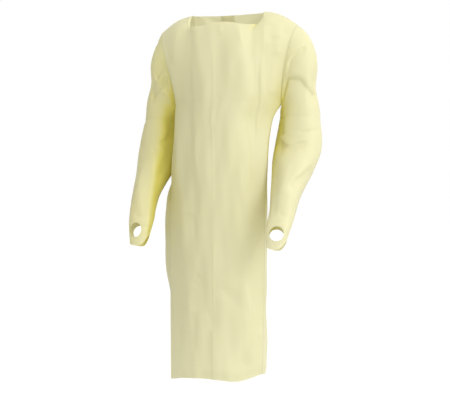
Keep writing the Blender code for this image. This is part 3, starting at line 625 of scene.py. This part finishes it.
def sleeve_folds(grid, normals, turns, folds):
    """Puts the folds in one sleeve; those near its seam are read on both sides of it."""
    along = sleeve_along()[:, None]
    scale = (math.radians(1) * SLEEVE_RADIUS, SLEEVE_LENGTH)
    lift = np.zeros(grid.shape[:2])
    for fold in folds:
        for wrap in (-360, 0, 360):
            flat = flat_places((np.degrees(turns) + wrap) * scale[0], along * scale[1])
            lift += fold_lift(flat, fold, scale)
    lift += swell(flat_places(SWELL_RADIUS * np.sin(turns), along * scale[1]))
    return grid + normals * (lift * smoothstep(along / ARMHOLE_FADE))[:, :, None]


# ------------------------ meshes
def quads(rows, columns, closed):
    """Rows and columns of the corners of all faces of a grid, and their points' numbers."""
    wrap = columns if closed else columns - 1
    i, j = np.meshgrid(np.arange(rows - 1), np.arange(wrap), indexing="ij")
    i = np.stack([i, i + 1, i + 1, i], axis=-1).reshape(-1, 4)
    j = np.stack([j, j, j + 1, j + 1], axis=-1).reshape(-1, 4)
    return i, j, i * columns + j % columns


def sheet_mesh(name, grid, closed, flat_uv, out):
    """One sheet of quads from a grid, with a UV map in metres of cloth, facing out."""
    i, j, faces = quads(*grid.shape[:2], closed)
    mesh = bpy.data.meshes.new(name)
    mesh.from_pydata(grid.reshape(-1, 3).tolist(), [], faces.tolist())
    step = flat_uv[:, 1:2, 0] - flat_uv[:, :1, 0]
    u = np.concatenate([flat_uv[..., 0], flat_uv[:, -1:, 0] + step], axis=1)
    v = np.concatenate([flat_uv[..., 1], flat_uv[:, :1, 1]], axis=1)
    layer = mesh.uv_layers.new(name="cloth")
    layer.data.foreach_set("uv", flat_places(u[i, j], v[i, j]).astype(np.float32).ravel())
    mesh.shade_smooth()
    if mesh.polygons[len(mesh.polygons) // 2].normal.dot(Vector(out)) < 0:
        mesh.flip_normals()
    piece = bpy.data.objects.new(name, mesh)
    bpy.context.scene.collection.objects.link(piece)
    return piece


def punch_hole(grid, hole, side):
    """Draws the points inside the thumb hole out to its edge, and marks the faces to keep."""
    turn, tilt = math.radians(hole.turn), math.radians(-hole.tilt)
    along = np.array([-math.sin(turn) * math.cos(tilt), math.cos(turn) * math.cos(tilt), math.sin(tilt)])
    right = np.array([math.cos(turn), math.sin(turn), 0.0])
    up = np.cross(right, along)
    centre = np.array([side * hole.x, hole.y, hole.z])
    away = grid - centre
    u, v = away @ right / hole.half_width, away @ up / hole.half_height
    size = np.hypot(u, v)
    inside = (size < 1) & (np.abs(away @ along) < HOLE_REACH)
    whole = inside[:-1] & inside[1:]
    keep = ~(whole & np.roll(whole, -1, axis=1))
    touched = np.zeros_like(inside)
    for di in (0, 1):
        for dj in (0, 1):
            touched[di:di + keep.shape[0]] |= np.roll(keep, dj, axis=1)
    stretch = np.where(inside & touched, 1 / np.maximum(size, 1e-6) - 1, 0)
    grid = grid + stretch[..., None] * (
        (u * hole.half_width)[..., None] * right + (v * hole.half_height)[..., None] * up)
    return grid, keep


def drop_faces(piece, keep):
    """Takes the faces that are not marked out of a sheet."""
    shape = bmesh.new()
    shape.from_mesh(piece.data)
    shape.faces.ensure_lookup_table()
    bmesh.ops.delete(shape, geom=[shape.faces[k] for k in np.flatnonzero(~keep)], context="FACES")
    bmesh.ops.delete(shape, geom=[v for v in shape.verts if not v.link_faces], context="VERTS")
    shape.to_mesh(piece.data)
    shape.free()


# ------------------------ how closed in the cloth is, and how much shade is painted there
def hemisphere(count):
    """Directions spread evenly over the half of space above +Z, more of them near it."""
    k = np.arange(count) + 0.5
    height = np.sqrt(1 - k / count)
    turn = k * math.pi * (3 - math.sqrt(5))
    flat = np.sqrt(1 - height ** 2)
    return np.stack([flat * np.cos(turn), flat * np.sin(turn), height], axis=1)


def closed_in_shares(sheets):
    """For each sheet, how much of what each point of its outside faces is cloth close by."""
    picks, points, faces = {}, [], []
    for name, (grid, _, closed) in sheets.items():
        rows = np.unique(np.append(np.arange(0, grid.shape[0], RAY_STEP), grid.shape[0] - 1))
        columns = np.arange(0, grid.shape[1], RAY_STEP)
        if not closed:
            columns = np.unique(np.append(columns, grid.shape[1] - 1))
        picks[name] = rows, columns
        faces += (len(points) + quads(len(rows), len(columns), closed)[2]).tolist()
        points += grid[np.ix_(rows, columns)].reshape(-1, 3).tolist()
    cloth = BVHTree.FromPolygons(points, faces)
    rays = hemisphere(RAY_COUNT)
    shares = {}
    for name, (grid, normals, closed) in sheets.items():
        rows, columns = picks[name]
        out = normals[np.ix_(rows, columns)]
        spots = grid[np.ix_(rows, columns)] + out * RAY_START
        aside = unit(np.cross(out, np.where(np.abs(out[..., 2:]) < 0.9, [0, 0, 1.0], [1.0, 0, 0])))
        over = np.cross(out, aside)
        coarse = np.zeros(spots.shape[:2])
        for ray in rays:
            aims = ray[0] * aside + ray[1] * over + ray[2] * out
            for place in np.ndindex(coarse.shape):
                hit = cloth.ray_cast(Vector(spots[place]), Vector(aims[place]), RAY_REACH)
                if hit[0] is not None:
                    coarse[place] += (1 - hit[3] / RAY_REACH) / len(rays)
        coarse = evened(coarse, closed)
        if closed:
            coarse = np.concatenate([coarse, coarse[:, :1]], axis=1)
            columns = np.append(columns, grid.shape[1])
        down = np.array([np.interp(np.arange(grid.shape[0]), rows, column) for column in coarse.T]).T
        shares[name] = np.array([np.interp(np.arange(grid.shape[1]), columns, row) for row in down])
    return shares


def shade_to_paint(sheets, front_across):
    """How much painted shade each sheet gets from how closed in it is."""
    shares = {}
    for name, share in closed_in_shares(sheets).items():
        shown = PAINTED_SHADE.get(name, PaintedShade())
        shares[name] = (shown.gain * share + shown.base).clip(0, 1)
    # On the front, less painted shade on the wearer's right half and where light comes in low at the left
    # side.
    height = sheets["front_panel"][0][:, :, 2]
    lit = smoothstep((front_across - LIT_START) / LIT_RAMP) * smoothstep((ARMPIT_Z - height) / LIT_HEIGHT)
    left = FRONT_SHOWN + (1 - FRONT_SHOWN) * smoothstep(front_across / SHOWN_RAMP)
    shares["front_panel"] *= left * (1 - LIT_SHARE * lit)
    return shares


def evened(values, closed):
    """The same values with each one mixed with those around it."""
    for _ in range(2):
        tall = np.pad(values, ((1, 1), (0, 0)), mode="edge")
        values = (2 * values + tall[:-2] + tall[2:]) / 4
        wide = np.pad(values, ((0, 0), (1, 1)), mode="wrap" if closed else "edge")
        values = (2 * values + wide[:, :-2] + wide[:, 2:]) / 4
    return values


def write_shares(piece, name, values):
    """Keeps one value for each point of a sheet, for its material to read."""
    piece.data.attributes.new(name, "FLOAT", "POINT").data.foreach_set(
        "value", values.astype(np.float32).ravel())


# ------------------------ materials
def node(tree, kind, place, **values):
    """Adds a node. Each value goes to the setting of its name, or else to the input."""
    made = tree.nodes.new(kind)
    made.location = place
    for name, value in values.items():
        if hasattr(made, name):
            setattr(made, name, value)
        else:
            made.inputs[name].default_value = value
    return made


def new_range(tree, place, value, start, end, low, high, kind="LINEAR"):
    """A value mapped from start and end to low and high."""
    made = node(tree, "ShaderNodeMapRange", place, interpolation_type=kind,
                **{"From Min": start, "From Max": end, "To Min": low, "To Max": high})
    tree.links.new(value, made.inputs["Value"])
    return made.outputs["Result"]


def combined(tree, place, operation, *values):
    """The outcome of one sum on other nodes' values."""
    made = node(tree, "ShaderNodeMath", place, operation=operation)
    for value, socket in zip(values, made.inputs):
        tree.links.new(value, socket)
    return made.outputs[0]


def nonwoven_group():
    """Colour, roughness and height of coated nonwoven from its place on the flat cloth; the colour is
    mixed towards the painted shade colour by the painted shade amount and random clouds.
    """
    tree = bpy.data.node_groups.new("coated nonwoven", "ShaderNodeTree")
    for way, kind, names in (("INPUT", "Color", ("Light Colour", "Painted Shade Colour")),
                             ("INPUT", "Float", ("Depth", "Weld Reach", "Cloudiness")),
                             ("OUTPUT", "Color", ("Colour",)),
                             ("OUTPUT", "Float", ("Roughness", "Height"))):
        for name in names:
            tree.interface.new_socket(name, in_out=way, socket_type="NodeSocket" + kind)
    link = tree.links.new
    put_in = node(tree, "NodeGroupInput", (-1000, 0))
    put_out = node(tree, "NodeGroupOutput", (700, 0))
    cloth = node(tree, "ShaderNodeUVMap", (-1000, -300), uv_map="cloth")
    clouds = node(tree, "ShaderNodeTexNoise", (-700, 200), Scale=9.0, Detail=3.0, Roughness=0.55)
    fibres = node(tree, "ShaderNodeTexNoise", (-700, -100), Scale=420.0, Detail=2.0, Roughness=0.6)
    bonds = node(tree, "ShaderNodeTexVoronoi", (-700, -400), Scale=650.0, Randomness=0.12)
    for texture in (clouds, fibres, bonds):
        link(cloth.outputs["UV"], texture.inputs["Vector"])
    fibre = fibres.outputs["Fac"]
    dots = new_range(tree, (-450, -400), bonds.outputs["Distance"], 0.22, 0.38, 0.0, 1.0)
    # Painted shade: the amount, with random clouds added, mixes the cloth's own colour towards the deeper
    # shade colour.
    depth = combined(tree, (-450, 200), "MULTIPLY_ADD", clouds.outputs["Fac"],
                     put_in.outputs["Cloudiness"], put_in.outputs["Depth"])
    colour = node(tree, "ShaderNodeMix", (-150, 200), data_type="RGBA", clamp_factor=True)
    link(depth, colour.inputs["Factor"])
    link(put_in.outputs["Light Colour"], colour.inputs["A"])
    link(put_in.outputs["Painted Shade Colour"], colour.inputs["B"])
    mottle = new_range(tree, (-450, -100), fibre, 0.0, 1.0, 0.95, 1.05)
    bonded = new_range(tree, (-450, -650), dots, 0.0, 1.0, 0.965, 1.0)
    weld = new_range(tree, (-450, -900), put_in.outputs["Weld Reach"], 0.0025, 0.0045, 0.93, 1.0,
                     "SMOOTHSTEP")
    speckle = combined(tree, (-300, -200), "MULTIPLY", mottle, bonded)
    tint = node(tree, "ShaderNodeVectorMath", (200, 150), operation="SCALE")
    link(colour.outputs["Result"], tint.inputs[0])
    link(combined(tree, (-150, -100), "MULTIPLY", speckle, weld), tint.inputs["Scale"])
    height = node(tree, "ShaderNodeMath", (200, -350), operation="MULTIPLY_ADD")
    height.inputs[1].default_value = 0.35
    link(fibre, height.inputs[0])
    link(dots, height.inputs[2])
    link(tint.outputs[0], put_out.inputs["Colour"])
    link(new_range(tree, (200, -100), fibre, 0.0, 1.0, 0.40, 0.56), put_out.inputs["Roughness"])
    link(height.outputs[0], put_out.inputs["Height"])
    return tree


def cloth_material(name, group, light, shade_colour, through):
    """Coated nonwoven that lets some light through, with shade painted into its colour where it is closed
    in.
    """
    material = bpy.data.materials.new(name)
    material.use_nodes = True
    tree = material.node_tree
    tree.nodes.clear()
    link = tree.links.new
    cloth = node(tree, "ShaderNodeGroup", (-500, 0), node_tree=group, Cloudiness=0.1,
                 **{"Light Colour": (*light, 1), "Painted Shade Colour": (*shade_colour, 1)})
    # The first attribute holds the painted shade, the second how far the welds are.
    for down, attribute, socket in ((0, "painted_shade", "Depth"), (-200, "from_weld", "Weld Reach")):
        value = node(tree, "ShaderNodeAttribute", (-800, down), attribute_name=attribute)
        link(value.outputs["Fac"], cloth.inputs[socket])
    bump = node(tree, "ShaderNodeBump", (-200, -300), Strength=0.25, Distance=0.0001)
    link(cloth.outputs["Height"], bump.inputs["Height"])
    surface = node(tree, "ShaderNodeBsdfPrincipled", (0, 100),
                   **{"Specular IOR Level": 0.35, "Sheen Weight": 0.15, "Sheen Roughness": 0.4})
    link(cloth.outputs["Colour"], surface.inputs["Base Color"])
    link(cloth.outputs["Roughness"], surface.inputs["Roughness"])
    link(bump.outputs["Normal"], surface.inputs["Normal"])
    glow = node(tree, "ShaderNodeBsdfTranslucent", (0, -400))
    link(cloth.outputs["Colour"], glow.inputs["Color"])
    link(bump.outputs["Normal"], glow.inputs["Normal"])
    mix = node(tree, "ShaderNodeMixShader", (350, 0))
    mix.inputs[0].default_value = through
    link(surface.outputs[0], mix.inputs[1])
    link(glow.outputs[0], mix.inputs[2])
    out = node(tree, "ShaderNodeOutputMaterial", (550, 0))
    link(mix.outputs[0], out.inputs["Surface"])
    return material


# ------------------------ the gown
def build_body():
    """Both halves of the body with their folds, the back's outward directions, and how far across
    each point lies."""
    front_at, back_at = front_columns(), back_columns()
    front = body_half(front_at, -1, -NECK_FRONT, NECK_DROP_FRONT, front_ring)
    back = body_half(back_at, 1, NECK_BACK, NECK_DROP_BACK, back_ring)
    front = soft_corners(front, front_at[1])
    front = body_folds(front, grid_normals(front), front_at[1], FRONT_FOLDS, FRONT_HALF_GIRTH,
                       front_at[2], -1)
    back = body_folds(back, -grid_normals(back), back_at[1], BACK_FOLDS, BACK_HALF_GIRTH, back_at[2], 1)
    return front, back, -grid_normals(back), front_at[1], back_at[1]


def back_half(back, normals, rows_across, side):
    """One back panel, from its side seam to past the centre; the left one lies on top."""
    per_column = BACK_FINE / BACK_COLUMNS
    lap_end = round((BACK_COLUMNS + BACK_LAP_COLUMNS) / 2 * per_column)
    columns = slice(BACK_FINE - lap_end, None) if side > 0 else slice(0, lap_end + 1)
    grid, across = back[:, columns].copy(), rows_across[:, columns]
    if side > 0:
        lap = rows_across[:, lap_end][:, None]
        lift = LAP_LIFT * smoothstep((lap + LAP_RAMP - across) / LAP_RAMP)
        grid += normals[:, columns] * lift[:, :, None]
    return grid, normals[:, columns], across


def sleeve_sheet(loop, rings, finish, folds, hole, side):
    """Points, outward directions, turns and kept faces of one sleeve."""
    grid, turns = sleeve_grid(even_loop(loop, SLEEVE_ROUND), rings, finish, side)
    normals = -side * grid_normals(grid, closed=True)
    grid = sleeve_folds(grid, normals, turns, folds)
    grid, keep = punch_hole(grid, hole, side)
    return grid, -side * grid_normals(grid, closed=True), turns, keep


def edge_reach(name, grid, closed):
    """How far each point lies from the seams round its sheet, along the cloth, in metres."""
    down = np.linalg.norm(np.diff(grid, axis=0), axis=2)
    from_top = np.concatenate([np.zeros((1, grid.shape[1])), np.cumsum(down, axis=0)])
    if closed:
        return from_top
    across = np.linalg.norm(np.diff(grid, axis=1), axis=2)
    from_start = np.concatenate([np.zeros((grid.shape[0], 1)), np.cumsum(across, axis=1)], axis=1)
    from_end = from_start[:, -1:] - from_start
    sides = {"front_panel": np.minimum(from_start, from_end), "back_panel_left": from_end,
             "back_panel_right": from_start}[name]
    on_shoulder = np.abs(grid[0, :, 0]) > NECK_HALF - AT_SEAM
    return np.minimum(sides, np.where(on_shoulder[None, :], from_top, 1.0))


def build_gown():
    """All five sheets, with the shade painted on them where they are closed in, and where they are
    welded.
    """
    front, back, back_normals, front_across, back_across = build_body()
    sheets, gown, kept = {}, {}, {}

    def add(node_name, name, grid, normals, closed, flat, out):
        """Builds one piece; the normals point to its outside and out says which way that is."""
        sheets[node_name] = grid, normals, closed
        gown[node_name] = sheet_mesh(name, grid, closed, flat, out)

    add("front_panel", "front", front, grid_normals(front), False,
        flat_places(front_across * FRONT_HALF_GIRTH, front[:, :, 2]), (0, -1, 0))
    for word, side in (("left", 1), ("right", -1)):
        grid, normals, across = back_half(back, back_normals, back_across, side)
        add("back_panel_" + word, "back_" + word, grid, normals, False,
            flat_places(across * BACK_HALF_GIRTH, grid[:, :, 2]), (0, 1, 0))
    down = -sleeve_along()[:, None] * SLEEVE_LENGTH
    for word, side, made in (("left", 1, (LEFT_RINGS, LEFT_FINISH, LEFT_FOLDS, LEFT_HOLE)),
                             ("right", -1, (RIGHT_RINGS, RIGHT_FINISH, RIGHT_FOLDS, RIGHT_HOLE))):
        grid, normals, turns, kept[word] = sleeve_sheet(armhole_loop(front, back, side), *made, side)
        add("sleeve_" + word, "sleeve_" + word + "_sheet", grid, normals, True,
            flat_places(turns * SLEEVE_RADIUS, down), (side, 0, 0))
    # How much shade is painted on each point, from how closed in it is.
    shares = shade_to_paint(sheets, front_across)
    for name, piece in gown.items():
        grid, _, closed = sheets[name]
        write_shares(piece, "painted_shade", shares[name])
        write_shares(piece, "from_weld", edge_reach(name, grid, closed))
    for word, keep in kept.items():
        drop_faces(gown["sleeve_" + word], keep)
    return gown


gown = build_gown()
nonwoven = nonwoven_group()
# The cloth's own pale yellow, then the deeper yellow of its painted shade.
yellow = cloth_material("yellow nonwoven", nonwoven, (0.635, 0.610, 0.400), (0.60, 0.540, 0.120), 0.36)
for node_name, piece in gown.items():
    piece.data.materials.append(yellow)
    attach(piece, "root")
    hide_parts(node_name)

# ------------------------ studio
FLOOR_Z, FLOOR_REACH, FLOOR_SIDES, FLOOR_GREY = -1.45, 30, 48, 0.7
CAMERA_TURN, CAMERA_REACH = math.radians(18), 3.2
CAMERA_AIM = Vector((0, 0, -0.607))
PIXELS_PER_METRE = 307
CAMERA_SIDE = 3.5 / PIXELS_PER_METRE         # the gown stands a little right of the middle
LENS_PIXELS, PICTURE_WIDTH, SENSOR = 982, 450, 36
BRIGHT_SIDE, DARK_SIDE = (0.86, -0.40, 0.42), (-0.93, -0.35, -0.08)
ROOM_DIM, ROOM_BRIGHT, ROOM_DARK = 1.0, 2.1, 0.70
BRIGHT_FROM, DARK_FROM = -0.35, 0.30         # cosines to those sides at which they begin
Lamp = namedtuple("Lamp", "name place aim size power")
LAMPS = (Lamp("key", (2.6, -1.2, 1.0), (0, 0, -0.5), 1.2, 30),
         Lamp("low", (2.5, -1.1, -0.2), (0.1, 0, -0.45), 1.0, 6))


def build_stage():
    """A round pale floor."""
    turns = [2 * math.pi * k / FLOOR_SIDES for k in range(FLOOR_SIDES)]
    corners = [(math.cos(turn) * FLOOR_REACH, math.sin(turn) * FLOOR_REACH, FLOOR_Z) for turn in turns]
    floor = bpy.data.meshes.new("floor")
    floor.from_pydata(corners, [], [tuple(range(FLOOR_SIDES))])
    stage = bpy.data.objects.new("floor", floor)
    bpy.context.scene.collection.objects.link(stage)
    material = bpy.data.materials.new("pale floor")
    material.use_nodes = True
    shader = material.node_tree.nodes["Principled BSDF"]
    shader.inputs["Base Color"].default_value = (FLOOR_GREY, FLOOR_GREY, FLOOR_GREY, 1)
    shader.inputs["Roughness"].default_value = 0.9
    floor.materials.append(material)


def add_lamp(lamp):
    light = bpy.data.lights.new(lamp.name, "AREA")
    light.shape = "RECTANGLE"
    light.size = light.size_y = lamp.size
    light.energy = lamp.power
    holder = bpy.data.objects.new(lamp.name, light)
    holder.location = lamp.place
    holder.rotation_euler = (Vector(lamp.aim) - Vector(lamp.place)).to_track_quat("-Z", "Y").to_euler()
    bpy.context.scene.collection.objects.link(holder)


def build_camera():
    camera = bpy.data.cameras.new("camera")
    camera.sensor_width = SENSOR
    camera.lens = LENS_PIXELS / PICTURE_WIDTH * SENSOR
    camera.clip_end = 50
    view = bpy.data.objects.new("camera", camera)
    cos, sin = math.cos(CAMERA_TURN), math.sin(CAMERA_TURN)
    view.location = (CAMERA_AIM + CAMERA_REACH * Vector((sin, -cos, 0))
                     - CAMERA_SIDE * Vector((cos, sin, 0)))
    view.rotation_euler = (math.pi / 2, 0, CAMERA_TURN)
    bpy.context.scene.collection.objects.link(view)
    bpy.context.scene.camera = view


def build_world():
    """A white room that is brighter towards one side and darker on the other."""
    world = bpy.data.worlds.new("studio")
    world.use_nodes = True
    tree = world.node_tree
    background = tree.nodes["Background"]
    background.inputs["Color"].default_value = (1, 1, 1, 1)
    place = node(tree, "ShaderNodeTexCoord", (-900, 0))
    levels = []
    for down, side, start, low, high in ((0, BRIGHT_SIDE, BRIGHT_FROM, ROOM_DIM, ROOM_BRIGHT),
                                         (-300, DARK_SIDE, DARK_FROM, 1.0, ROOM_DARK)):
        towards = node(tree, "ShaderNodeVectorMath", (-700, down), operation="DOT_PRODUCT")
        towards.inputs[1].default_value = Vector(side).normalized()
        tree.links.new(place.outputs["Generated"], towards.inputs[0])
        levels.append(new_range(tree, (-450, down), towards.outputs["Value"], start, 1.0, low, high,
                                "SMOOTHSTEP"))
    level = combined(tree, (-200, 0), "MULTIPLY", *levels)
    tree.links.new(level, background.inputs["Strength"])
    bpy.context.scene.world = world
    bpy.context.scene.view_settings.view_transform = "Standard"


build_stage()
build_world()
build_camera()
for lamp in LAMPS:
    add_lamp(lamp)
